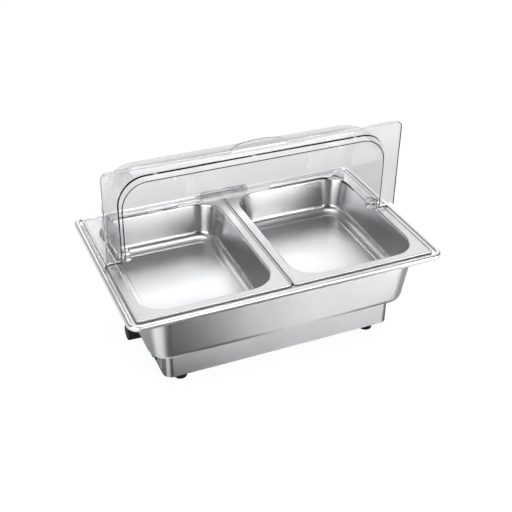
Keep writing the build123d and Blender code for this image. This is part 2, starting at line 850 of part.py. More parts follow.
with BuildPart() as earth_stud:
    with BuildSketch(Plane(origin=(block_x, dish_y + earth_y, plate_top))):
        Circle(stud_diameter / 2)
    extrude(amount=earth_stud_height)
save(earth_stud, "earth_stud")
save(nuts([Location((block_x, earth_y))], plate_top), "earth_nut")

# Wires held inside the base, each from terminal to terminal
blade_tip_x = thermostat_back + blade_length
switch_tip_x = switch_back + blade_length
riser_x = element_end - terminal_length / 2
terminal_low = element_z - terminal_diameter / 2
cross_x = riser_x + wire_bend
earth_wire_z = plate_top + nut_height + (earth_stud_height - nut_height) / 2
neutral_z = (wire_z + insulation_low) / 2 + wire_diameter / 2
live_x = block_x - block_pitch
neutral_x = block_x + block_pitch
earth_step = (block_front - earth_y) / 4
wire_routes = {
    "live_wire": (
        (live_x, block_front, wire_z),
        (live_x, switch_y, wire_z),
        (switch_tip_x, switch_y, wire_z),
    ),
    "switch_wire": (
        (switch_tip_x, switch_y, upper_wire_z),
        (cross_x, switch_y, upper_wire_z),
        (cross_x, blade_ys[0], upper_wire_z),
        (blade_tip_x, blade_ys[0], upper_wire_z),
    ),
    "element_wire": (
        (blade_tip_x, blade_ys[1], upper_wire_z),
        (riser_x, blade_ys[1], upper_wire_z),
        (riser_x, element_outer_leg, upper_wire_z),
        (riser_x, element_outer_leg, terminal_low),
    ),
    "neutral_wire": (
        (riser_x, -element_outer_leg, terminal_low),
        (riser_x, -element_outer_leg, neutral_z),
        (neutral_x, -element_outer_leg, neutral_z),
        (neutral_x, block_front - 2 * earth_step, neutral_z),
        (neutral_x, block_front - earth_step, wire_z),
        (neutral_x, block_front, wire_z),
    ),
    "earth_wire": (
        (block_x, block_front, wire_z),
        (block_x, block_front - earth_step, wire_z),
        (block_x, block_front - 2 * earth_step, earth_wire_z),
        (block_x, earth_y + stud_diameter / 2, earth_wire_z),
    ),
}
for wire_name, route in wire_routes.items():
    points = [Vector(x, dish_y + y, z) for x, y, z in route]
    with BuildPart() as wire:
        with BuildLine():
            FilletPolyline(*points, radius=wire_bend)
        with BuildSketch(Plane(origin=points[0], z_dir=points[1] - points[0])):
            Circle(wire_diameter / 2)
        sweep()
    save(wire, wire_name)

# Cord inlet in the rear wall of the base
gland_wall = Plane(origin=(gland_x, dish_y + base_depth / 2, control_z), z_dir=(0, 1, 0))
with BuildPart() as cord_gland:
    with BuildSketch(gland_wall):
        RegularPolygon(gland_hex / 2, 6, major_radius=False)
    extrude(amount=gland_flange)
    with BuildSketch(gland_wall.offset(gland_flange)):
        Circle(gland_cap_diameter / 2)
    extrude(amount=gland_cap_length)
    fillet(cord_gland.edges().group_by(Axis.Y)[-1], gland_flange / 2)
    with BuildSketch(gland_wall):
        Circle(gland_thread_diameter / 2)
    extrude(amount=-gland_thread_length)
    with BuildSketch(gland_wall.offset(-gland_thread_length)):
        Circle(gland_bore_diameter / 2)
    extrude(amount=gland_thread_length + gland_flange + gland_cap_length, mode=Mode.SUBTRACT)
save(cord_gland, "cord_gland")

with BuildPart() as gland_nut:
    with BuildSketch(gland_wall.offset(-base_sheet)):
        RegularPolygon(gland_nut_size / 2, 6, major_radius=False)
        Circle(gland_thread_diameter / 2 + running_clearance, mode=Mode.SUBTRACT)
    extrude(amount=-gland_nut_height)
save(gland_nut, "gland_nut")

# Rear cover: inner shell with an ear round each pin, flange with a skirt that drops into the recess, grip tab
cover_length = 2 * cover_half_x
far = 2 * front_radius
pin_hole = pin_diameter / 2 + running_clearance


def cover_ring(inner_half_x, inner_half_y):
    """Sketch of the cover's outline, open inside the given half sizes where they are not zero."""
    RectangleRounded(cover_length, 2 * cover_half_y, cover_corner)
    if inner_half_x:
        RectangleRounded(
            2 * inner_half_x, 2 * inner_half_y, cover_corner - cover_skirt, mode=Mode.SUBTRACT
        )


rear_outside = barrel(rear_half_length, rear_radius, rear_round)
rear_inside = barrel(rear_half_length - cover_wall, rear_radius - cover_wall, rear_round - cover_wall)
with BuildPart() as rear_cover:
    add(rear_outside)
    with BuildSketch(cover_side(upright, -cover_half_x)):
        with Locations((-rear_overlap, flange_low)):
            Rectangle(far, far, align=(Align.MIN, Align.MIN))
    extrude(amount=cover_length, mode=Mode.INTERSECT)
    for inner_x, inner_y, depth in (
        (0, 0, cover_wall),
        (cover_half_x - cover_skirt, cover_half_y - cover_skirt, skirt_low - flange_low),
    ):
        with BuildSketch(cover_level(upright, flange_low)):
            cover_ring(inner_x, inner_y)
            with Locations((0, flange_split / 2)):
                Rectangle(2 * cover_length, far, align=(Align.CENTER, Align.MAX), mode=Mode.SUBTRACT)
        extrude(amount=depth)
    with BuildSketch(cover_level(upright, flange_low)):
        with Locations((0, cover_half_y)):
            Ellipse(tab_width / 2, tab_reach)
    extrude(amount=cover_wall)
    with BuildSketch(cover_side(upright, -cover_half_x)):
        with Locations((flange_split / 2, 0)):
            Rectangle(far, far, align=(Align.MAX, Align.MAX))
        Circle(ear_radius, mode=Mode.SUBTRACT)
    extrude(amount=cover_length, mode=Mode.SUBTRACT)
    add(rear_inside, mode=Mode.SUBTRACT)
    with BuildSketch(cover_side(upright, -cover_half_x)):
        Circle(pin_hole)
    extrude(amount=cover_length, mode=Mode.SUBTRACT)
save(rear_cover, "rear_cover")

# Front cover: outer shell, drawn rolled back by a quarter turn, with an ear round each pin
front_outside = barrel(front_half_length, front_radius, front_round)
front_inside = barrel(front_half_length - cover_wall, front_radius - cover_wall, front_round - cover_wall)
with BuildPart() as front_cover:
    add(front_outside)
    with BuildSketch(cover_side(rolled_back, -cover_half_x)):
        with Locations((stop_edge, flange_low)):
            Rectangle(far, far, align=(Align.MAX, Align.MIN))
    extrude(amount=cover_length, mode=Mode.INTERSECT)
    with BuildSketch(cover_side(rolled_back, -cover_half_x)):
        with Locations((-flange_split / 2, 0)):
            Rectangle(far, far, align=(Align.MIN, Align.MAX))
        Circle(ear_radius, mode=Mode.SUBTRACT)
    extrude(amount=cover_length, mode=Mode.SUBTRACT)
    for inner_x, inner_y, depth in (
        (0, 0, cover_wall),
        (cover_half_x - cover_skirt, cover_half_y - cover_skirt, skirt_low - flange_low),
    ):
        with BuildSketch(cover_level(rolled_back, flange_low)):
            cover_ring(inner_x, inner_y)
            with Locations((0, -flange_split / 2)):
                Rectangle(2 * cover_length, far, align=(Align.CENTER, Align.MIN), mode=Mode.SUBTRACT)
        extrude(amount=depth)
    with BuildSketch(cover_level(rolled_back, flange_low)):
        with Locations((0, -cover_half_y)):
            Ellipse(tab_width / 2, tab_reach)
    extrude(amount=cover_wall)
    add(front_inside, mode=Mode.SUBTRACT)
    with BuildSketch(cover_side(rolled_back, -cover_half_x)):
        Circle(pin_hole)
    extrude(amount=cover_length, mode=Mode.SUBTRACT)
save(front_cover, "front_cover")

# Hinge pins, washers and scalloped nuts, one set at each end
rear_inner_face = rear_half_length - cover_wall
pin_end = rear_inner_face - star_height
head_face = front_half_length + side_gap
for side, end_name in ((-1, "left"), (1, "right")):
    with BuildPart() as hinge_pin:
        with BuildSketch(outward(side, pin_end)):
            Circle(pin_diameter / 2)
        extrude(amount=head_face - pin_end)
        with BuildSketch(outward(side, head_face)):
            Circle(pin_head_diameter / 2)
        extrude(amount=pin_head_height)
    save(hinge_pin, "hinge_pin_" + end_name)
    with BuildPart() as hinge_washer:
        with BuildSketch(outward(side, rear_half_length)):
            Circle(washer_diameter / 2)
            Circle(pin_hole, mode=Mode.SUBTRACT)
        extrude(amount=shell_end_gap - side_gap)
    save(hinge_washer, "hinge_washer_" + end_name)
    with BuildPart() as hinge_knob:
        with BuildSketch(outward(side, rear_inner_face)):
            Circle(star_diameter / 2)
            with PolarLocations(star_diameter / 2, star_lobes):
                Circle(star_lobe_diameter / 2)
            Circle(pin_hole, mode=Mode.SUBTRACT)
        extrude(amount=-star_height)
    save(hinge_knob, "hinge_knob_" + end_name)

print("dish centre Y", round(dish_y, 3), "hinge Z", hinge_z, "ledge Z", ledge)
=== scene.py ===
# %% [markdown]
# # An electric chafing dish with a roll-top cover
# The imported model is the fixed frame: every size and place below is read from it or set against it.
# The visible sheet metal, the clear covers, the feet, the knob and the hinge nuts are worked out again here
# as smooth surfaces, because a polished or see-through surface shows every facet. The other pieces, most of
# them hidden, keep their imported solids.

# %% Load the frame
import json
from math import radians

import bmesh
import bpy
import numpy as np
from mathutils import Matrix, Vector


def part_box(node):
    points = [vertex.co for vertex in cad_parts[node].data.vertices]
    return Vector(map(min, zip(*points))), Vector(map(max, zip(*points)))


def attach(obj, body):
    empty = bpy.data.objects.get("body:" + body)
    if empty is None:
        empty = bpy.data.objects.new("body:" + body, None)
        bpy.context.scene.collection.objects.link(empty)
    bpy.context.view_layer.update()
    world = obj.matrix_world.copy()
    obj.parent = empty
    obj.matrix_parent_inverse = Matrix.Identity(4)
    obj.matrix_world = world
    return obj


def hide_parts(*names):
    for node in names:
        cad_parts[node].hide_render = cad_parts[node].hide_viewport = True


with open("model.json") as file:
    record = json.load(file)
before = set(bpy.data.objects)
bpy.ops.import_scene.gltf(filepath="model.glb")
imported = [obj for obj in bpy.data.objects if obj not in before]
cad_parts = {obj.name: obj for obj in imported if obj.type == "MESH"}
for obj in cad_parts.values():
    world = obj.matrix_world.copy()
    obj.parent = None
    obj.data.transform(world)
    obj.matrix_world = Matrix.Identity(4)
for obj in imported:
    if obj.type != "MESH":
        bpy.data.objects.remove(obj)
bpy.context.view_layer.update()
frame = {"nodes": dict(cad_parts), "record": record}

scene = bpy.context.scene
mm = 0.001
rim_low, rim_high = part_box("water_pan")
dish_x, dish_y = (rim_low.x + rim_high.x) / 2, (rim_low.y + rim_high.y) / 2
rim_bead_top = 4.0
ledge = rim_high.z - rim_bead_top * mm
joints = {joint["name"]: joint for joint in frame["record"]["behaviour"]["joints"]}
hinge_y, hinge_z = joints["cover_hinge"]["pos_m"][1:]
print("ledge", round(ledge, 4), "hinge", round(hinge_y, 4), round(hinge_z, 4))

# %% [markdown]
# ## Camera
# The photo was taken from above and a little to the left of the front. A camera could be set by eye. Here
# its place, two directions and a focal length were fitted to straight edges of the rim, pans and base, so
# that the render can be laid over the photo.

# %% Camera
image_width = 512
focal_pixels = 930.55
sensor_width = 36.0
camera_place = Vector((-0.5518, dish_y - 1.2563, ledge + 0.8536))
camera_right = Vector((0.9180, -0.3965, 0.0139))
camera_back = Vector((-0.3394, -0.7667, 0.5449))

lens = bpy.data.cameras.new("photo_camera")
lens.sensor_width = sensor_width
lens.lens = focal_pixels * sensor_width / image_width
camera = bpy.data.objects.new("photo_camera", lens)
scene.collection.objects.link(camera)
camera_back.normalize()
camera_up = camera_back.cross(camera_right).normalized()
camera_right = camera_up.cross(camera_back)
turn = Matrix((camera_right, camera_up, camera_back)).transposed()
camera.matrix_world = Matrix.Translation(camera_place) @ turn.to_4x4()
scene.camera = camera
scene.view_settings.view_transform = "Standard"
print("lens", round(lens.lens, 2), "mm")

# %% [markdown]
# ## Node helpers
# Floor, world and finishes are all built from a few kinds of node: a sum or product, a ramp from one level to
# another, a row of colours and a mix. After the first, each helper makes one node and gives back what comes
# out of it.

# %% Node helpers


def new_material(name):
    """Empty node material with its output: gives the material, its nodes and a link function."""
    material = bpy.data.materials.new(name)
    material.use_nodes = True
    nodes = material.node_tree.nodes
    nodes.clear()
    output = nodes.new("ShaderNodeOutputMaterial")
    return material, nodes, material.node_tree.links.new, output


def combined(nodes, link, operation, *values):
    """Result of a Math node on values that are numbers or sockets."""
    made = nodes.new("ShaderNodeMath")
    made.operation = operation
    for socket, value in zip(made.inputs, values):
        if isinstance(value, float):
            socket.default_value = value
        else:
            link(value, socket)
    return made.outputs[0]


def ramped(nodes, link, value, near, far, low=0.0, high=1.0, kind="LINEAR"):
    """Level of a value that is low up to near and high from far on."""
    ramp = nodes.new("ShaderNodeMapRange")
    ramp.interpolation_type = kind
    for name, number in zip(("From Min", "From Max", "To Min", "To Max"), (near, far, low, high)):
        ramp.inputs[name].default_value = number
    link(value, ramp.inputs["Value"])
    return ramp.outputs["Result"]


def coloured(nodes, link, value, stops):
    """Colour that a value picks from a row of stops (position, colour)."""
    ramp = nodes.new("ShaderNodeValToRGB")
    elements = ramp.color_ramp.elements
    first, *between, last = stops
    for element, (position, colour) in zip(elements, (first, last)):
        element.position = position
        element.color = (*colour, 1)
    for position, colour in between:
        elements.new(position).color = (*colour, 1)
    link(value, ramp.inputs[0])
    return ramp.outputs[0]


def mixed(nodes, link, factor, first, second):
    """Mix of two colours, each a grey level or a socket."""
    mix = nodes.new("ShaderNodeMix")
    mix.data_type = "RGBA"
    link(factor, mix.inputs["Factor"])
    for name, value in (("A", first), ("B", second)):
        if isinstance(value, float):
            mix.inputs[name].default_value = (value, value, value, 1)
        else:
            link(value, mix.inputs[name])
    return mix.outputs["Result"]


# %% [markdown]
# ## White paper
# Catalogue photos of steel are taken on white paper under large soft lights. As a surface the paper is dull,
# so that it keeps a faint shadow and throws little light back. What makes it white is a glow that only shows
# to the camera, in reflections and through clear plastic. In reflections it is dark in front of the dish and
# bright behind it and beyond its ends, as when paper is lit from the back: that draws the shape of the steel.

# %% Floor
floor_size = 12.0
floor_paper = 0.11
glow_camera = 0.935
glow_through = 0.625
glow_front, glow_back, glow_ends = 0.03, 0.79, 0.84
back_from, back_to = -0.15, 0.7
ends_from, ends_to = 0.2, 0.38


def seen_glow(nodes, link, shares):
    """Largest share among the kinds of ray that are set: 0 for rays that only carry light between surfaces.

    A share is (front, back, ends): it rises smoothly from the front of the floor to the part behind the
    dish, and in reflections it is never less than the third value beyond the ends of the dish.
    """
    rays = nodes.new("ShaderNodeLightPath").outputs
    coords = nodes.new("ShaderNodeTexCoord")
    place = nodes.new("ShaderNodeSeparateXYZ")
    link(coords.outputs["Object"], place.inputs[0])
    sideways = combined(nodes, link, "ABSOLUTE", place.outputs["X"])
    reflected = combined(nodes, link, "SUBTRACT", 1.0, rays["Is Transmission Ray"])
    level = 0.0
    for kind, (front, back, ends) in shares.items():
        depth_share = ramped(nodes, link, place.outputs["Y"], back_from, back_to, front, back, "SMOOTHSTEP")
        end_ramp = ramped(nodes, link, sideways, ends_from, ends_to, 0.0, ends, "SMOOTHSTEP")
        end_share = combined(nodes, link, "MULTIPLY", end_ramp, reflected)
        share = combined(nodes, link, "MAXIMUM", depth_share, end_share)
        level = combined(nodes, link, "MAXIMUM", level, combined(nodes, link, "MULTIPLY", share, rays[kind]))
    return level


paper, nodes, link, output = new_material("studio_paper")
diffuse = nodes.new("ShaderNodeBsdfDiffuse")
diffuse.inputs["Color"].default_value = (floor_paper, floor_paper, floor_paper, 1)
glow = nodes.new("ShaderNodeEmission")
shares = {
    "Is Camera Ray": (glow_camera, glow_camera, glow_camera),
    "Is Glossy Ray": (glow_front, glow_back, glow_ends),
    "Is Transmission Ray": (glow_through, glow_through, glow_through),
}
link(seen_glow(nodes, link, shares), glow.inputs["Strength"])
both = nodes.new("ShaderNodeAddShader")
link(diffuse.outputs[0], both.inputs[0])
link(glow.outputs[0], both.inputs[1])
link(both.outputs[0], output.inputs["Surface"])

floor_mesh = bpy.data.meshes.new("floor")
corners = np.array([(-1, -1, 0), (1, -1, 0), (1, 1, 0), (-1, 1, 0)]) * floor_size
floor_mesh.from_pydata(corners.tolist(), [], [(0, 1, 2, 3)])
floor_mesh.materials.append(paper)
floor = bpy.data.objects.new("floor", floor_mesh)
scene.collection.objects.link(floor)
print("floor", 2 * floor_size, "m wide")

# %% [markdown]
# ## The room around it
# Steel is a mirror, so the room matters as much as the lamps. It is grey, lighter overhead, dark in front,
# and has a lit wall low down behind the dish. It could be built from walls and cards. A world whose tone
# follows the direction is shorter, and nothing gets between camera and dish. Clear plastic shows a paler
# room near the horizon, and the camera sees a plain backdrop in the tone of the far paper.

# %% World
room_low, room_mid, room_high = (0.12, 0.12, 0.13), (0.20, 0.20, 0.21), (0.65, 0.65, 0.65)
lit_wall, wall_end, wall_full = 0.8, 0.38, 0.12
behind_from, behind_full = 0.1, 0.6
dark_front, front_from, front_full = 0.03, -0.1, -0.5
through_low, through_high, through_from, through_to = 0.62, 0.35, 0.25, 0.5
glow_backdrop = 0.955

world = bpy.data.worlds.new("studio")
scene.world = world
world.use_nodes = True
nodes, link = world.node_tree.nodes, world.node_tree.links.new
nodes.clear()
sky_out = nodes.new("ShaderNodeOutputWorld")
sky = nodes.new("ShaderNodeBackground")
direction = nodes.new("ShaderNodeTexCoord")
axes = nodes.new("ShaderNodeSeparateXYZ")
rays = nodes.new("ShaderNodeLightPath").outputs
link(direction.outputs["Generated"], axes.inputs[0])
depth, height = axes.outputs["Y"], axes.outputs["Z"]

room = coloured(nodes, link, height, [(0.05, room_low), (0.80, room_mid), (0.97, room_high)])
low_band = ramped(nodes, link, height, wall_end, wall_full)
behind = ramped(nodes, link, depth, behind_from, behind_full)
in_front = ramped(nodes, link, depth, front_from, front_full)
seen_through = ramped(nodes, link, height, through_from, through_to, through_low, through_high)
room = mixed(nodes, link, combined(nodes, link, "MULTIPLY", low_band, behind), room, lit_wall)
room = mixed(nodes, link, in_front, room, dark_front)
room = mixed(nodes, link, rays["Is Transmission Ray"], room, seen_through)
room = mixed(nodes, link, rays["Is Camera Ray"], room, glow_backdrop)
link(room, sky.inputs["Color"])
sky.inputs["Strength"].default_value = 1.0
link(sky.outputs[0], sky_out.inputs["Surface"])
print("world", len(nodes), "nodes")

# %% [markdown]
# ## Lamps
# Small lamps would leave hard spots on steel, so all four are large and flat. One hangs overhead, and one
# stands behind, where the floors of the pans mirror it to the camera. Two more stand low in front, left and
# right, so that the left end is pale and the front grows lighter to the right.

# %% Lamps


def soft_lamp(name, place, aim, wide, tall, power):
    """Large flat lamp at a place, turned to face a point."""
    light = bpy.data.lights.new(name, "AREA")
    light.shape = "RECTANGLE"
    light.size = wide
    light.size_y = tall
    light.energy = power
    lamp = bpy.data.objects.new(name, light)
    lamp.location = place
    lamp.rotation_euler = (Vector(aim) - Vector(place)).to_track_quat("-Z", "Y").to_euler()
    scene.collection.objects.link(lamp)


body_middle, pans_middle = (0, 0, 0.12), (0, 0, 0.15)
soft_lamp("top_lamp", (0.0, 0.3, 2.6), pans_middle, wide=1.5, tall=1.5, power=26)
soft_lamp("left_lamp", (-1.66, -1.34, 0.55), body_middle, wide=1.5, tall=0.9, power=32)
soft_lamp("right_lamp", (1.26, -2.28, 0.6), body_middle, wide=2.0, tall=1.0, power=64)
soft_lamp("back_lamp", (0.9, 2.0, 1.5), pans_middle, wide=3.2, tall=1.3, power=20)
print("lamps", len(bpy.data.lights))

# %% [markdown]
# ## Uneven surfaces
# No real surface is quite even. Painted pictures could show that, but noise that is worked out in space
# needs no files and no unwrapping. It reads Object coordinates, so it stays with its piece when the piece
# moves. The helpers turn it into a level, a colour or a tilt of the surface.

# %% Noise helpers
noise_low, noise_high = 0.3, 0.7


def noise(nodes, link, scale, stretch, detail=4.0, rough=0.55):
    """Noise on Object coordinates, stretched by a Mapping node: long along small factors."""
    coords = nodes.new("ShaderNodeTexCoord")
    mapping = nodes.new("ShaderNodeMapping")
    mapping.inputs["Scale"].default_value = stretch
    link(coords.outputs["Object"], mapping.inputs["Vector"])
    texture = nodes.new("ShaderNodeTexNoise")
    texture.inputs["Scale"].default_value = scale
    texture.inputs["Detail"].default_value = detail
    texture.inputs["Roughness"].default_value = rough
    link(mapping.outputs["Vector"], texture.inputs["Vector"])
    return texture.outputs["Fac"]


def spread(nodes, link, value, low, high):
    """Noise value laid out from low to high."""
    return ramped(nodes, link, value, noise_low, noise_high, low, high)


def tinted(nodes, link, value, dark, light):
    """Colour between two tones, picked by a noise value."""
    return coloured(nodes, link, value, [(noise_low, dark), (noise_high, light)])


def bumped(nodes, link, value, strength, distance):
    """Normal tilted by the slope of a value."""
    bump = nodes.new("ShaderNodeBump")
    bump.inputs["Strength"].default_value = strength
    bump.inputs["Distance"].default_value = distance
    link(value, bump.inputs["Height"])
    return bump.outputs["Normal"]


# %% [markdown]
# ## Brushed and drawn steel
# Stainless sheet carries fine straight scratches from polishing. They change the roughness from line to
# line and tilt the surface a little, which is what stretches a highlight. Stretched noise gives both. A
# second, broad noise stands for the uneven polish that handling leaves. The pans have three finishes:
# bright floors, drawn walls with a calm level grain, and satin flanges. The walls also get a darker tone
# than the floors of the same sheet, which is painted shade.

# %% Steel finishes
grain_scale, grain_height, grain_turn = 1.0, 0.0004, 0.25
steel_cloud = 9.0


def steel(name, dark, light, smooth, rough, stretch, depth=0.12, brushed=0.0):
    """Stainless sheet: stretched noise for grain, broad noise for colour, both on Object coordinates.

    Brushed sheet spreads a highlight across its grain, which runs level round the piece.
    """
    material, nodes, link, output = new_material(name)
    shader = nodes.new("ShaderNodeBsdfPrincipled")
    shader.inputs["Metallic"].default_value = 1.0
    shader.inputs["Anisotropic"].default_value = brushed
    shader.inputs["Anisotropic Rotation"].default_value = grain_turn
    lines = noise(nodes, link, grain_scale, stretch)
    cloud = noise(nodes, link, steel_cloud, (1, 1, 1), 3.0)
    link(tinted(nodes, link, cloud, dark, light), shader.inputs["Base Color"])
    link(spread(nodes, link, lines, smooth, rough), shader.inputs["Roughness"])
    link(bumped(nodes, link, lines, depth, grain_height), shader.inputs["Normal"])
    link(shader.outputs[0], output.inputs["Surface"])
    return material


def grey(level, blue=0.01):
    """Neutral tone with a trace more blue."""
    return level, level, level + blue


level_grain, fine_grain, plain_grain = (14, 14, 900), (700, 700, 700), (300, 300, 300)
base_grain, wall_grain = (10, 10, 1100), (14, 14, 500)
body_steel = steel("satin_body_steel", grey(0.48), grey(0.54), 0.45, 0.53, level_grain, brushed=0.95)
base_steel = steel("brushed_base_steel", grey(0.36), grey(0.42), 0.47, 0.55, base_grain, brushed=0.95)
pan_steel = steel("bright_pan_steel", grey(0.58), grey(0.62), 0.27, 0.32, fine_grain, 0.01)
# Pan walls: real level grain, and a tone of 0.50-0.54 against 0.58-0.62 on the floors, which is painted shade
wall_steel_painted_shade = steel("drawn_walls_painted_shade", grey(0.50), grey(0.54), 0.266, 0.274, wall_grain, 0.002, 0.7)
flange_steel = steel("satin_flange_steel", grey(0.58), grey(0.62), 0.36, 0.44, fine_grain, 0.02)
# Rim bead: a little less rough than the body sheet it belongs to, and a much lighter tone, which is painted
# light
rim_steel_painted_light = steel("polished_rim_painted_light", grey(0.76), grey(0.82), 0.34, 0.42, fine_grain, 0.01)
plain_steel = steel("plated_steel", grey(0.50), grey(0.62), 0.24, 0.42, plain_grain)
plate_metal = steel("satin_plate", grey(0.74), grey(0.82), 0.34, 0.5, level_grain)
copper = steel("drawn_copper", (0.62, 0.34, 0.22), (0.74, 0.44, 0.30), 0.22, 0.4, plain_grain)
brass = steel("turned_brass", (0.64, 0.48, 0.20), (0.74, 0.58, 0.28), 0.2, 0.35, plain_grain)
dark_sheath = steel("oxidised_sheath", (0.14, 0.13, 0.12), (0.24, 0.22, 0.21), 0.4, 0.6, plain_grain)
print("steel finishes", body_steel.name, base_steel.name, pan_steel.name, wall_steel_painted_shade.name, rim_steel_painted_light.name)

# %% [markdown]
# ## Clear plastic
# The cover is moulded clear polycarbonate, so it bends light and shows its edges darker. Faint ripples in
# its surface keep it from looking like optical glass. Its index is set below that of the real plastic, for
# fainter reflections and narrower edges. The hinge nuts are clear too, and the grip pad is frosted.

# %% Clear finishes
clear_index = 1.30
ripple_scale, ripple_tilt, ripple_height = 14.0, 0.03, 0.0008
haze_scale = 60.0


def clear_plastic(name, tint, roughness):
    """Clear moulding: full transmission with a faint ripple in the normal."""
    material, nodes, link, output = new_material(name)
    shader = nodes.new("ShaderNodeBsdfPrincipled")
    shader.inputs["IOR"].default_value = clear_index
    shader.inputs["Transmission Weight"].default_value = 1.0
    ripple = noise(nodes, link, ripple_scale, (1, 1, 1), 2.0)
    haze = noise(nodes, link, haze_scale, (1, 1, 1), 3.0)
    lighter = tuple(min(1.0, channel + 0.01) for channel in tint)
    link(tinted(nodes, link, ripple, tint, lighter), shader.inputs["Base Color"])
    link(spread(nodes, link, haze, 0.0, roughness), shader.inputs["Roughness"])
    link(bumped(nodes, link, ripple, ripple_tilt, ripple_height), shader.inputs["Normal"])
    link(shader.outputs[0], output.inputs["Surface"])
    return material


clear_cover = clear_plastic("clear_polycarbonate", (0.98, 0.982, 0.985), 0.02)
frosted_grip = clear_plastic("frosted_polycarbonate", (0.66, 0.665, 0.67), 0.35)
star_plastic = clear_plastic("star_nut_plastic", (0.93, 0.932, 0.935), 0.06)
print("clear finishes", clear_cover.name, frosted_grip.name, star_plastic.name)

# %% [markdown]
# ## Rubber and moulded plastic
# Feet, knob, rocker, washers and wires are moulded. A mould leaves a fine pitted skin and slow changes of
# tone and gloss. One function serves them all, with its own colours and more or less shine for each.

# %% Moulded finishes
mould_cloud, skin_height = 40.0, 0.0002


def moulded(name, dark, light, smooth, rough, grain=1400.0, depth=0.15, shine=0.5):
    """Moulded plastic or rubber: fine pitted skin and a slow change of tone."""
    material, nodes, link, output = new_material(name)
    shader = nodes.new("ShaderNodeBsdfPrincipled")
    shader.inputs["Specular IOR Level"].default_value = shine
    skin = noise(nodes, link, grain, (1, 1, 1), 2.0)
    cloud = noise(nodes, link, mould_cloud, (1, 1, 1), 3.0)
    link(tinted(nodes, link, cloud, dark, light), shader.inputs["Base Color"])
    link(spread(nodes, link, cloud, smooth, rough), shader.inputs["Roughness"])
    link(bumped(nodes, link, skin, depth, skin_height), shader.inputs["Normal"])
    link(shader.outputs[0], output.inputs["Surface"])
    return material


rubber = moulded("foot_rubber", grey(0.005, 0.001), grey(0.010, 0.001), 0.55, 0.75, shine=0.2)
black_plastic = moulded(
    "knob_black", grey(0.006, 0.001), grey(0.012, 0.001), 0.34, 0.44, depth=0.05, shine=0.25
)
resin = moulded("heat_resin", (0.50, 0.48, 0.42), (0.60, 0.58, 0.52), 0.5, 0.7)
board = moulded("mineral_board", (0.60, 0.56, 0.46), (0.72, 0.68, 0.58), 0.8, 0.95, 500.0, 0.4)
rocker_green = moulded("rocker_green", (0.01, 0.24, 0.09), (0.015, 0.34, 0.13), 0.12, 0.22)
wire_brown = moulded("wire_brown", (0.10, 0.04, 0.02), (0.16, 0.07, 0.03), 0.45, 0.6)
wire_blue = moulded("wire_blue", (0.02, 0.09, 0.32), (0.04, 0.13, 0.42), 0.45, 0.6)
wire_green = moulded("wire_green", (0.10, 0.30, 0.04), (0.16, 0.40, 0.06), 0.45, 0.6)
nylon = moulded("nylon_washer", (0.72, 0.72, 0.70), (0.80, 0.80, 0.78), 0.4, 0.55)
print("moulded finishes", rubber.name, black_plastic.name, rocker_green.name, nylon.name)

# %% [markdown]
# ## From arrays to a piece
# Each new piece is a grid of points: one direction runs along a profile and the other along a path or
# round an axis. It could be modelled by hand from boxes and tubes, but arrays keep every section exact.
# Neighbouring points make four-sided faces, and open ends are closed by one flat face.

# %% Grids and pieces


def grid_faces(rows, columns, wrap_rows):
    """Four-sided faces between neighbours of a grid. Columns close on themselves, and rows too if wrapped."""
    r = np.arange(rows if wrap_rows else rows - 1)
    c = np.arange(columns)
    r, c = np.meshgrid(r, c, indexing="ij")
    r2, c2 = (r + 1) % rows, (c + 1) % columns
    quads = np.stack([r * columns + c, r * columns + c2, r2 * columns + c2, r2 * columns + c], axis=-1)
    return quads.reshape(-1, 4).tolist()


def piece(name, points, faces, material, body, replaced, sharp=38.0, bevel=0.0):
    """Mesh object from points and faces: doubles merged, faces outwards, smooth except at sharp edges."""
    mesh = bpy.data.meshes.new(name)
    mesh.from_pydata(np.asarray(points).reshape(-1, 3).tolist(), [], faces)
    shell = bmesh.new()
    shell.from_mesh(mesh)
    bmesh.ops.remove_doubles(shell, verts=shell.verts, dist=1e-6)
    bmesh.ops.dissolve_degenerate(shell, edges=shell.edges, dist=1e-6)
    bmesh.ops.recalc_face_normals(shell, faces=shell.faces)
    shell.to_mesh(mesh)
    open_edges = sum(1 for edge in shell.edges if not edge.is_manifold)
    shell.free()
    mesh.polygons.foreach_set("use_smooth", np.ones(len(mesh.polygons), dtype=bool))
    mesh.set_sharp_from_angle(angle=radians(sharp))
    mesh.materials.append(material)
    made = bpy.data.objects.new(name, mesh)
    scene.collection.objects.link(made)
    if bevel:
        rounding = made.modifiers.new("edge_round", "BEVEL")
        rounding.width = bevel
        rounding.segments = 2
        rounding.limit_method = "ANGLE"
        rounding.angle_limit = radians(sharp)
    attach(made, body)
    if replaced:
        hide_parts(*replaced)
    print(name, len(mesh.polygons), "faces,", open_edges, "open edges")
    return made


# %% [markdown]
# ## Profiles and rings
# Pressed and folded sheet has the same section all round, with every corner rounded. Bevels on a coarse box
# could give that too, but arcs that are worked out join without a step, and a highlight shows each step.
# So a section is drawn by its corners, and each of its points becomes one ring in the shape of a rounded
# rectangle.

# %% Profiles and rings


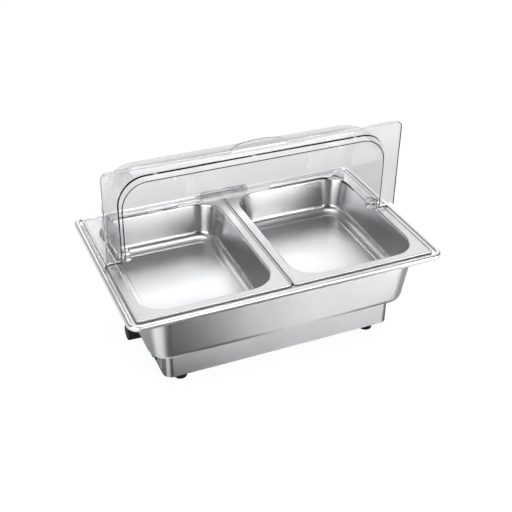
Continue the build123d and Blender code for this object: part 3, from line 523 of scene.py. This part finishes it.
def rounded(corners, steps=7):
    """Profile through corners (u, v, radius): each corner becomes an arc, as a rational curve of degree two.

    With unit directions in and out and turn angle a, the arc starts and ends r tan(a/2) from the corner,
    and its middle weight is cos(a/2), which makes the curve an exact circle.
    """
    data = np.array(corners, dtype=float)
    spot, radius = data[:, :2], data[1:-1, 2]
    into = spot[1:-1] - spot[:-2]
    away = spot[2:] - spot[1:-1]
    into /= np.linalg.norm(into, axis=1, keepdims=True)
    away /= np.linalg.norm(away, axis=1, keepdims=True)
    half = np.arccos(np.clip((into * away).sum(axis=1), -1, 1)) / 2
    reach = (radius * np.tan(half))[:, None]
    t = np.linspace(0, 1, steps)[None, :, None]
    weight = np.cos(half)[:, None, None]
    start, stop = (spot[1:-1] - into * reach)[:, None], (spot[1:-1] + away * reach)[:, None]
    corner = spot[1:-1][:, None]
    arc = (1 - t) ** 2 * start + 2 * weight * t * (1 - t) * corner + t**2 * stop
    arc /= (1 - t) ** 2 + 2 * weight * t * (1 - t) + t**2
    return np.concatenate([spot[:1], arc.reshape(-1, 2), spot[-1:]])


def rounded_rings(half_x, half_y, radius, height, centre, steps=14):
    """One closed ring per profile point: a rounded rectangle of its own half sizes, radius and height.

    On corner c at angle a the point is centre + sign (half - radius) + radius (cos a, sin a).
    """
    a = (np.linspace(0, 90, steps)[None, :] + 90 * np.arange(4)[:, None]).ravel()
    sign_x = np.repeat([1, -1, -1, 1], steps)
    sign_y = np.repeat([1, 1, -1, -1], steps)
    hx, hy, r, z = (np.asarray(v, dtype=float)[:, None] for v in (half_x, half_y, radius, height))
    x = centre[0] + sign_x * (hx - r) + r * np.cos(np.radians(a))
    y = centre[1] + sign_y * (hy - r) + r * np.sin(np.radians(a))
    return np.stack([x, y, np.broadcast_to(z, x.shape)], axis=-1)


def ringed(rings, capped):
    """Points and faces of stacked rings: capped ends get a flat face each, else the stack is a loop."""
    count, around = rings.shape[:2]
    faces = grid_faces(count, around, not capped)
    if capped:
        faces.append(list(range(around)))
        faces.append(list(range((count - 1) * around, count * around)))
    return rings.reshape(-1, 3), faces


def refinish(made, layers):
    """Further finishes, each on the faces whose middle lies higher than its level. Levels rise."""
    middles = np.empty(len(made.data.polygons) * 3)
    made.data.polygons.foreach_get("center", middles)
    index = np.zeros(len(made.data.polygons), dtype=np.int32)
    for material, over in layers:
        made.data.materials.append(material)
        index[middles[2::3] > over] = len(made.data.materials) - 1
    made.data.polygons.foreach_set("material_index", index)


# %% [markdown]
# ## Food pans
# A catering pan is pressed from one sheet: flat floor, rounded foot, slightly sloping walls, a rounded lip,
# a flat flange, and a raised bead along the edge that the cover rests on. One profile, carried round a
# rounded rectangle, gives both faces of the sheet. Its points are (inset from the edge, height over the
# ledge, corner radius) in millimetres. The corners of the plan are tight at the bead and at the floor, and
# wide at the mouth of the well.

# %% Food pans
pan_sheet = 1.0
pan_flange, pan_top = 18.0, 2.8
pan_under = pan_top - pan_sheet
pan_edge_low, pan_bead_top, pan_bead_inner = 0.3, 4.8, 3.6
pan_slope = np.tan(radians(8.5))
pan_floor, floor_step = -61.2, 0.7
pan_middle = 70.0
step_from, step_to, step_shift = 19.5, 21.5, 0.5
pan_foot = pan_flange + (pan_top - pan_floor) * pan_slope
under_foot = pan_foot + 0.3
pan_profile = rounded([
    (pan_middle, pan_floor - floor_step, 0),
    (pan_foot + step_to, pan_floor - floor_step, 1.5),
    (pan_foot + step_from, pan_floor, 1.5),
    (pan_foot, pan_floor, 15),
    (pan_flange, pan_top, 4.5),
    (pan_bead_inner, pan_top, 1.2),
    (2.9, pan_bead_top, 1.1),
    (0.2, pan_bead_top, 1.3),
    (0.0, pan_edge_low, 0.2),
    (pan_sheet, pan_edge_low, 0.2),
    (1.4, pan_under, 0.6),
    (pan_flange - pan_sheet, pan_under, 5.5),
    (under_foot - pan_sheet, pan_floor - pan_sheet, 16),
    (pan_foot + step_from - step_shift, pan_floor - pan_sheet, 1.0),
    (pan_foot + step_to - step_shift, pan_floor - floor_step - pan_sheet, 1.0),
    (pan_middle, pan_floor - floor_step - pan_sheet, 0),
])
pan_inset, pan_height = pan_profile.T
radius_insets = [0, pan_bead_inner, 13, pan_flange, 56, pan_middle]
pan_radius = np.interp(pan_inset, radius_insets, [8, 5, 50, 45, 7, 5])
wall_from, flange_from = pan_floor + 4.0, 2.4
# The walls above the floor take the darker wall finish, whose lower tone is painted shade
pan_layers = [(wall_steel_painted_shade, ledge + wall_from * mm), (flange_steel, ledge + flange_from * mm)]
for side in ("left", "right"):
    node = "food_pan_" + side
    low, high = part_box(node)
    rings = rounded_rings(
        (high.x - low.x) / 2 - pan_inset * mm,
        (high.y - low.y) / 2 - pan_inset * mm,
        pan_radius * mm,
        ledge + pan_height * mm,
        ((low.x + high.x) / 2, (low.y + high.y) / 2),
    )
    points, faces = ringed(rings, True)
    pan = piece("drawn_pan_" + side, points, faces, pan_steel, "pan_" + side, [node])
    refinish(pan, pan_layers)

# %% [markdown]
# ## Water pan
# The deep pan under them is drawn the same way. Round its mouth the sheet runs out into a flat ledge for the
# food pans and rolls over into the bead that is the rim of the whole dish. The ledge is narrower at front and
# back than at the ends, so the inset differs between the two directions.

# %% Water pan
water_sheet = 1.2
deep_top, deep_floor = 30.5, -106.8
deep_slope = np.tan(radians(8.5))
deep_middle, deep_shift = 90.0, 1.0
deep_foot = deep_top - deep_floor * deep_slope
rim_inner, rim_end = 8.6, -4.5
water_profile = rounded([
    (deep_middle, deep_floor, 0),
    (deep_foot, deep_floor, 18.8),
    (deep_top, 0.0, 3.0),
    (rim_inner, 0.0, 1.6),
    (7.9, rim_bead_top, 3.4),
    (0.0, rim_bead_top, 4.2),
    (0.3, rim_end, 0.4),
    (1.4, rim_end, 0.4),
    (1.3, rim_bead_top - water_sheet, 2.6),
    (6.8, rim_bead_top - water_sheet, 1.8),
    (7.2, -water_sheet, 1.0),
    (deep_top - deep_shift, -water_sheet, 4.0),
    (deep_foot - deep_shift, deep_floor - water_sheet, 20.0),
    (deep_middle, deep_floor - water_sheet, 0),
])
inset_x, water_height = water_profile.T
inset_y = np.interp(inset_x, [0, rim_inner, deep_top, deep_middle], [0, rim_inner, 20.5, 80])
water_radius = np.interp(inset_x, [0, rim_inner, 27, 47, deep_middle], [20, 12, 48, 28, 6])
rings = rounded_rings(
    rim_high.x - dish_x - inset_x * mm,
    rim_high.y - dish_y - inset_y * mm,
    water_radius * mm,
    ledge + water_height * mm,
    (dish_x, dish_y),
)
rim_from = -6
points, faces = ringed(rings, True)
water_pan = piece("deep_water_pan", points, faces, body_steel, "base", ["water_pan"])
# The rim of the water pan takes the polished finish; its lighter tone than the rest of the sheet is painted
# light
refinish(water_pan, [(rim_steel_painted_light, ledge + rim_from * mm)])

# %% [markdown]
# ## Base
# The base is a folded box: an outer wall with a flange turned in at the top for the pan and another near
# the bottom for the plate. A box with a Solidify modifier could stand for the wall, but not for the flanges
# that hold it all together. So its section is one closed loop, carried round the rounded plan.

# %% Base housing
base_low, base_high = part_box("base_housing")
base_tall = (base_high.z - base_low.z) / mm
base_sheet, base_bend = 1.5, 15.0
top_flange, bottom_flange = 20.0, 26.0
base_profile = rounded([
    (0.0, base_tall / 2, 0),
    (0.0, base_tall, 2.2),
    (top_flange, base_tall, 0.3),
    (top_flange, base_tall - base_sheet, 0.3),
    (base_sheet, base_tall - base_sheet, 0.7),
    (base_sheet, 2 * base_sheet, 0.7),
    (bottom_flange, 2 * base_sheet, 0.3),
    (bottom_flange, base_sheet, 0.3),
    (base_sheet, base_sheet, 0.3),
    (base_sheet, 0.0, 0.3),
    (0.0, 0.0, 0.6),
    (0.0, base_tall / 2, 0),
])[:-1]
base_inset, base_rise = base_profile.T
rings = rounded_rings(
    (base_high.x - base_low.x) / 2 - base_inset * mm,
    (base_high.y - base_low.y) / 2 - base_inset * mm,
    np.maximum(base_bend - base_inset, 1.0) * mm,
    base_low.z + base_rise * mm,
    ((base_low.x + base_high.x) / 2, (base_low.y + base_high.y) / 2),
)
points, faces = ringed(rings, False)
piece("folded_base", points, faces, base_steel, "base", ["base_housing"])

# %% [markdown]
# ## Feet
# Feet, knob and hinge nuts are round about an axis, so a profile is turned about it. The radius may also
# swell and dip with the angle, which gives the flutes of the knob and the lobes of the nuts. A foot is
# plain: a tapered rubber plug with a recess for its screw.

# %% Turned pieces and feet


def turned(profile, origin, axis, around=72, lobes=0, swell=None):
    """Profile (along, radius) turned about an axis; the radius gains swell cos(lobes angle) at each point."""
    axis = np.array(axis, dtype=float)
    side = np.array((0.0, 1.0, 0.0)) if abs(axis[1]) < 0.5 else np.array((1.0, 0.0, 0.0))
    third = np.cross(axis, side)
    a = np.linspace(0, 2 * np.pi, around, endpoint=False)[None, :, None]
    along, radius = profile[:, 0][:, None, None], profile[:, 1][:, None, None]
    if swell is not None:
        radius = radius + np.asarray(swell)[:, None, None] * np.cos(lobes * a)
    return np.array(origin) + along * axis + radius * (np.cos(a) * side + np.sin(a) * third)


foot_tall, foot_recess, foot_wide = 18.0, 10.0, 12.9
foot_profile = rounded([
    (foot_recess, 0.5, 0),
    (foot_recess, 6.0, 0.3),
    (0.0, 6.4, 0.8),
    (0.0, 11.4, 2.2),
    (17.2, foot_wide, 0.4),
    (foot_tall, foot_wide, 0.3),
    (foot_tall, 0.5, 0),
])
for corner in ("front_left", "rear_left", "front_right", "rear_right"):
    low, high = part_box("foot_" + corner)
    middle_x, middle_y = (low.x + high.x) / 2, (low.y + high.y) / 2
    points, faces = ringed(turned(foot_profile * mm, (middle_x, middle_y, 0), (0, 0, 1)), True)
    piece("rubber_" + corner, points, faces, rubber, "base", ["foot_" + corner])

# %% [markdown]
# ## Knob
# A black knob on the left end sets the thermostat. It has a collar against the plate and a slightly tapered
# grip with fine flutes. They could be cut one by one. A cosine in the radius makes them all at once, and
# only where the grip is.

# %% Knob
knob_low, knob_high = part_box("thermostat_knob")
knob_axis = ((knob_low.y + knob_high.y) / 2, (knob_low.z + knob_high.z) / 2)
knob_long = (knob_high.x - knob_low.x) / mm
knob_wide = (knob_high.z - knob_low.z) / mm / 2 - 0.1
knob_recess, knob_collar = 6.0, 3.0
knob_flutes, flute_depth = 21, 0.45
knob_profile = rounded([
    (knob_recess, 3.2, 0),
    (knob_recess, 10.6, 0.5),
    (0.0, 11.2, 0.5),
    (0.0, knob_wide, 0.8),
    (knob_collar, knob_wide, 0.6),
    (knob_collar + 1.2, knob_wide - 0.9, 0.6),
    (knob_long, knob_wide - 1.6, 1.4),
    (knob_long, 0.4, 0),
])
fluted = (knob_profile[:, 0] > knob_collar + 1) & (knob_profile[:, 1] > knob_wide - 2.0)
grip = np.where(fluted, flute_depth, 0.0)
knob_points = turned(
    knob_profile * mm, (knob_high.x, *knob_axis), (-1, 0, 0), 8 * knob_flutes, knob_flutes, grip * mm
)
points, faces = ringed(knob_points, True)
piece("control_knob", points, faces, black_plastic, "knob", ["thermostat_knob"])

# %% [markdown]
# ## Hinge nuts
# Each hinge pin ends in a clear nut with eight lobes and a shallow dish in its inner face. It is turned like
# the knob, with a slower and deeper cosine, and its section is a closed loop, which leaves the bore for the
# pin.

# %% Hinge nuts
nut_low, nut_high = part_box("hinge_knob_left")
nut_long, nut_wide = (nut_high.x - nut_low.x) / mm, (nut_high.z - nut_low.z) / mm / 2
nut_bore, nut_dish = 3.1, 0.8
nut_lobes, nut_lobe, lobed_from = 8, 1.7, 8.0
nut_profile = rounded([
    (0.0, nut_bore, 0),
    (0.0, nut_wide - nut_lobe, 0.6),
    (nut_long, nut_wide - nut_lobe, 1.6),
    (nut_long, 5.6, 0.5),
    (nut_long - nut_dish, 5.0, 0.5),
    (nut_long - nut_dish, nut_bore, 0),
])
nut_swell = np.where(nut_profile[:, 1] > lobed_from, nut_lobe, 0.0)
for side, sign in (("left", -1), ("right", 1)):
    node = "hinge_knob_" + side
    low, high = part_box(node)
    outer = low.x if sign < 0 else high.x
    origin = (outer, hinge_y, hinge_z)
    nut_points = turned(nut_profile * mm, origin, (-sign, 0, 0), 12 * nut_lobes, nut_lobes, nut_swell * mm)
    points, faces = ringed(nut_points, False)
    piece("star_nut_" + side, points, faces, star_plastic, "rear_cover", [node])

# %% [markdown]
# ## Clear covers
# The roll-top cover has two halves. Both are parts of a barrel about the hinge axis, with rounded ends and
# an ear round each pin. Cutting them out of a cylinder would leave slivers, which show in clear plastic. A
# polar fan fits better: rays leave the ear, and each ray runs to the barrel, from the free edge round to
# the flange. All sizes are in millimetres about the hinge axis.

# %% Cover shell
cover_wall = 1.7
cover_half_x = (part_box("rear_cover")[1].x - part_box("rear_cover")[0].x) / 2 / mm
cover_half_y = 164.6
cover_corner = 12.0
cover_skirt = 2.3
flange_low, flange_high = -14.9, -12.4
skirt_low = -19.5
tab_half, tab_reach = 48.0, 10.9
edge_round = 5.0
ear_radius, flange_split = 12.0, 0.3
ear_turn = 78.0
shell_rays, last_ray = 46, 1.3
wall_steps, bend_steps, side_steps, grip_steps = 22, 12, 12, 16


def fan(half_length, radius, corner, edge, angles):
    """Points (x, y, h) of a trimmed barrel, for each place along its profile and each ray angle.

    A ray at angle a leaves the point E(a) in direction (cos a, sin a). E runs level from the free edge, at
    y = -edge, to the ear and then round the ear, which is a circle about the hinge axis. The ray meets the
    circle of radius r at -E.u + sqrt((E.u)^2 - E.E + r^2). The end walls are the same rays, cut short by a
    share from 0 to 1.
    """
    wall = np.linspace(0, 1, wall_steps)
    bend = np.linspace(0, 90, bend_steps)[1:]
    side = np.linspace(-(half_length - corner), -tab_half - 2.0, side_steps)[1:]
    grip = -tab_half * np.cos(np.radians(np.linspace(0, 90, grip_steps)))
    half = np.concatenate([side, grip])
    x = np.concatenate([
        np.full(wall.size, -half_length),
        -(half_length - corner) - corner * np.cos(np.radians(bend)),
        half,
    ])
    r = np.concatenate([
        np.full(wall.size, radius - corner),
        radius - corner + corner * np.sin(np.radians(bend)),
        np.full(half.size, radius),
    ])
    share = np.concatenate([wall, np.ones(bend.size + half.size)])
    x, r, share = (np.concatenate([v, s * v[-2::-1]]) for v, s in ((x, -1), (r, 1), (share, 1)))
    a = np.radians(angles)
    turn = np.radians(90 * np.minimum(angles / ear_turn, 1))
    level = np.clip((angles - ear_turn) / (90 - ear_turn), 0, 1)
    ear_y = flange_split - ear_radius * np.sin(turn)
    start_y = ear_y - level * (edge + flange_split - ear_radius)
    start = np.stack([start_y, -ear_radius * np.cos(turn)], axis=-1)
    u = np.stack([np.cos(a), np.sin(a)], axis=-1)
    along = (start * u).sum(axis=-1)
    reach = -along + np.sqrt(along**2 - (start**2).sum(axis=-1) + r[:, None] ** 2)
    flat = start + (share[:, None] * reach)[..., None] * u
    return np.concatenate([np.broadcast_to(x[:, None, None], (*flat.shape[:2], 1)), flat], axis=-1), share


print("cover", round(2 * cover_half_x, 1), "by", 2 * cover_half_y, "mm over its flange")

# %% [markdown]
# ## Flange of a cover
# The flange runs round the foot of the shell as a rounded rectangle. It could be a piece of its own that is
# joined on, but a seam inside clear plastic shows. So each place along the foot gets its partner on that
# outline, and flange, skirt and grip lip follow the same sections as the shell.

# %% Flange outline


def blend_corner(start, corner, stop, steps=6):
    """Parabola from start to stop that is drawn to a corner, for whole rows of points."""
    t = np.linspace(0, 1, steps)[None, :, None]
    return (1 - t) ** 2 * start[:, None] + 2 * t * (1 - t) * corner[:, None] + t**2 * stop[:, None]


def outline(foot_line, first_y):
    """Edge of the flange for each place along the foot: a rounded rectangle that starts at first_y."""
    count = len(foot_line)
    half = count // 2 + 1
    x, y = foot_line[:half, 0], foot_line[:half, 1]
    wall = x <= x[0] + 1e-6
    bend = (~wall) & (np.abs(np.gradient(y)) > 1e-6)
    edge = np.empty((half, 2))
    stop_y = cover_half_y - cover_corner
    span = (y[wall] - y[0]) / (y[wall][-1] - y[0])
    edge[wall] = np.stack([np.full(wall.sum(), -cover_half_x), first_y + span * (stop_y - first_y)], axis=-1)
    rest = np.flatnonzero(~wall)
    turn_count = int(bend[rest].sum())
    a = np.radians(np.linspace(0, 90, turn_count + 1)[1:])
    edge[rest[:turn_count]] = np.stack([
        -cover_half_x + cover_corner * (1 - np.cos(a)), stop_y + cover_corner * np.sin(a)
    ], axis=-1)
    flat = rest[turn_count:]
    inner = x[flat[0] - 1]
    from_x, to_x = -cover_half_x + cover_corner, -tab_half - 1.0
    share = np.clip((x[flat] - inner) / (to_x - inner), 0, 1)
    flat_x = np.where(x[flat] < to_x, from_x + share * (to_x - from_x), x[flat])
    edge[flat] = np.stack([flat_x, np.full(flat.size, cover_half_y)], axis=-1)
    mirrored = edge[-2::-1] * (-1, 1)
    return np.concatenate([edge, mirrored])


def tab_bulge(x):
    """How far the grip lip stands out at x: half an ellipse, reach sqrt(1 - (x / half)^2)."""
    return tab_reach * np.sqrt(np.maximum(1 - (x / tab_half) ** 2, 0))


# %% [markdown]
# ## Sections of a cover
# A section runs down the outside of the shell, out along the flange and its lip, down and up the skirt, back
# under the flange and up the inside of the shell. The whole cover is one row of such closed loops.

# %% Cover sections
root_reach, root_growth = 5.0, 60.0
lip_fade, skirt_bend = 4.0, 1.5


def cover_points(half_length, radius, corner, edge):
    """Closed loops of sections along a cover, in mm about the hinge axis, its flange on the +y side."""
    angles = np.concatenate([np.linspace(90, last_ray, shell_rays), [0.0]])
    outside, share = fan(half_length, radius, corner, edge, angles)
    inside, _ = fan(half_length - cover_wall, radius - cover_wall, corner - cover_wall, edge, angles)
    foot_out, foot_in = outside[:, -1].copy(), inside[:, -1].copy()
    rim = outline(foot_out[:, :2], foot_out[0, 1])
    away = rim - foot_out[:, :2]
    away /= np.linalg.norm(away, axis=1, keepdims=True)
    normal = np.stack([np.gradient(rim[:, 1]), -np.gradient(rim[:, 0])], axis=-1)
    normal /= -np.linalg.norm(normal, axis=1, keepdims=True)

    def at(plan, level):
        """Points of a plan, set at a level."""
        return np.concatenate([plan, np.broadcast_to(level, len(plan))[:, None]], axis=1)

    root = np.minimum(root_reach, share * root_growth)[:, None]
    tab = np.stack([np.zeros(len(rim)), tab_bulge(rim[:, 0])], axis=-1)
    far = rim + tab
    foot, inner_foot = foot_out[:, :2], foot_in[:, :2]
    root_end, inner_end = foot + away * (root * 0.4 + 0.5), inner_foot + away * (root * 0.2 + 0.3)
    out_root = blend_corner(outside[:, -2], at(foot, flange_high), at(root_end, flange_high))
    in_root = blend_corner(at(inner_end, flange_low), at(inner_foot, flange_low), inside[:, -2])
    bend = edge_round * np.clip(1 - tab[:, 1] / lip_fade, 0.1, 1)
    over = np.minimum(flange_low, flange_high - bend)
    out_bend = blend_corner(
        at(far - normal * bend[:, None], flange_high), at(far, flange_high), at(far, flange_high - bend)
    )
    inner = rim - normal * cover_skirt
    in_bend = blend_corner(
        at(inner, flange_low - skirt_bend), at(inner, flange_low), at(inner - normal * skirt_bend, flange_low)
    )
    lips = np.stack([at(far, over), at(rim, over), at(rim, skirt_low), at(inner, skirt_low)], axis=1)
    loop = [outside[:, :-2], out_root, out_bend, lips, in_bend, in_root, inside[:, -3::-1]]
    return np.concatenate(loop, axis=1)


# %% [markdown]
# ## Both halves
# The first and last loops are closed by a strip round the ear and a flat flange end. Small lugs on the free
# edges stop the halves against each other. The rear half stands shut, and the front half is rolled back,
# so the same sections are laid out in two ways.

# %% Cover pieces


def cover_piece(name, loops, lugs, to_world, node):
    """Cover piece from its loops of sections, closed by a strip round each ear and a flat flange end.

    A lug is a block, given by its middle (x, y, h) and its three half sizes.
    """
    sections, around = loops.shape[:2]
    faces = grid_faces(sections, around, False)
    k = np.arange(shell_rays - 2)
    strip = np.stack([k, k + 1, around - 2 - k, around - 1 - k], axis=-1)
    flange_end = np.arange(k.size, around - k.size)
    for start in (0, (sections - 1) * around):
        faces += (start + strip).tolist()
        faces.append((start + flange_end).tolist())
    corner = np.array([(x, y, h) for x in (-1, 1) for y in (-1, 1) for h in (-1, 1)])
    blocks = lugs[:, None, :3] + corner * lugs[:, None, 3:]
    sides = np.array([(0, 1, 3, 2), (4, 6, 7, 5), (0, 4, 5, 1), (2, 3, 7, 6), (0, 2, 6, 4), (1, 5, 7, 3)])
    first = sections * around + 8 * np.arange(len(lugs))
    faces += (first[:, None, None] + sides).reshape(-1, 4).tolist()
    points = np.concatenate([loops.reshape(-1, 3), blocks.reshape(-1, 3)])
    return piece(
        name, to_world(points), faces, clear_cover, node, [node], sharp=32.0, bevel=0.6 * mm
    )


def rear_place(p):
    """Closed half: y runs to the back and h runs up."""
    return np.stack([p[..., 0] * mm, hinge_y + p[..., 1] * mm, hinge_z + p[..., 2] * mm], axis=-1)


def front_place(p):
    """Half that is rolled back by a quarter turn: y runs up and h runs to the back."""
    return np.stack([p[..., 0] * mm, hinge_y + p[..., 2] * mm, hinge_z + p[..., 1] * mm], axis=-1)


rear_radius = 141.0
rear_loops = cover_points(half_length=236.0, radius=rear_radius, corner=45.0, edge=20.0)
front_loops = cover_points(half_length=240.5, radius=147.5, corner=49.5, edge=12.0)
rear_lugs = np.array([(x, -21.2, 137.4, 4.0, 1.0, 1.2) for x in (-147.0, 147.0)])
front_lugs = np.array([(x, 149.0, -15.9, 2.6, 1.4, 0.9) for x in (-177.0, -9.0, 177.0)])
cover_piece("clear_rear_half", rear_loops, rear_lugs, rear_place, "rear_cover")
cover_piece("clear_front_half", front_loops, front_lugs, front_place, "front_cover")

# %% [markdown]
# ## Grip pad
# A frosted pad stands on the rear wall of the cover, just over its flange. A change of finish could show
# where it is, but a thin solid also catches light along its edge. It is a strip of the barrel with rounded
# upper corners: columns run along the wall, and each one rises to the height of the outline there.

# %% Grip pad
pad_half, pad_low, pad_high, pad_corner = 47.0, -11.0, 5.0, 8.0
pad_inner, pad_outer = rear_radius + 0.2, rear_radius + 1.6
x = pad_half * np.sin(np.radians(np.linspace(-90, 90, 49)))
past = np.clip(np.abs(x) - (pad_half - pad_corner), 0, pad_corner)
crest = pad_high - pad_corner + np.sqrt(pad_corner**2 - past**2)
rise = pad_low + np.linspace(0, 1, 9)[None, :] * (crest - pad_low)[:, None]
shells = [
    np.stack([np.broadcast_to(x[:, None], rise.shape), np.sqrt(r**2 - rise**2), rise], axis=-1)
    for r in (pad_outer, pad_inner)
]
pad_loops = np.concatenate([shells[0], shells[1][:, ::-1]], axis=1)
points, faces = ringed(pad_loops, True)
piece("rear_grip_pad", rear_place(points), faces, frosted_grip, "rear_cover", [])

# %% [markdown]
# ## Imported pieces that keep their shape
# Switch, hinge pins, screws, wires and the pieces inside the base are shown as they were packed: they are
# small or hidden, and their solids are exact. Each node gets the finish of what it is made of.

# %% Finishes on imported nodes
finish_of = {
    "stainless_body": body_steel,
    "stainless_pan": pan_steel,
    "stainless_sheet": plain_steel,
    "clear_cover": clear_cover,
    "hinge_steel": plain_steel,
    "washer_nylon": nylon,
    "rubber_foot": rubber,
    "fastener_steel": plain_steel,
    "aluminium_plate": plate_metal,
    "element_sheath": dark_sheath,
    "mineral_board": board,
    "copper_tube": copper,
    "brass": brass,
    "black_plastic": black_plastic,
    "grey_plastic": resin,
    "green_rocker": rocker_green,
    "wire_brown": wire_brown,
    "wire_blue": wire_blue,
    "wire_green": wire_green,
}
for subpart in frame["record"]["subparts"]:
    node = frame["nodes"][subpart["node"]]
    node.data.materials.clear()
    node.data.materials.append(finish_of[subpart["material_slot"]])
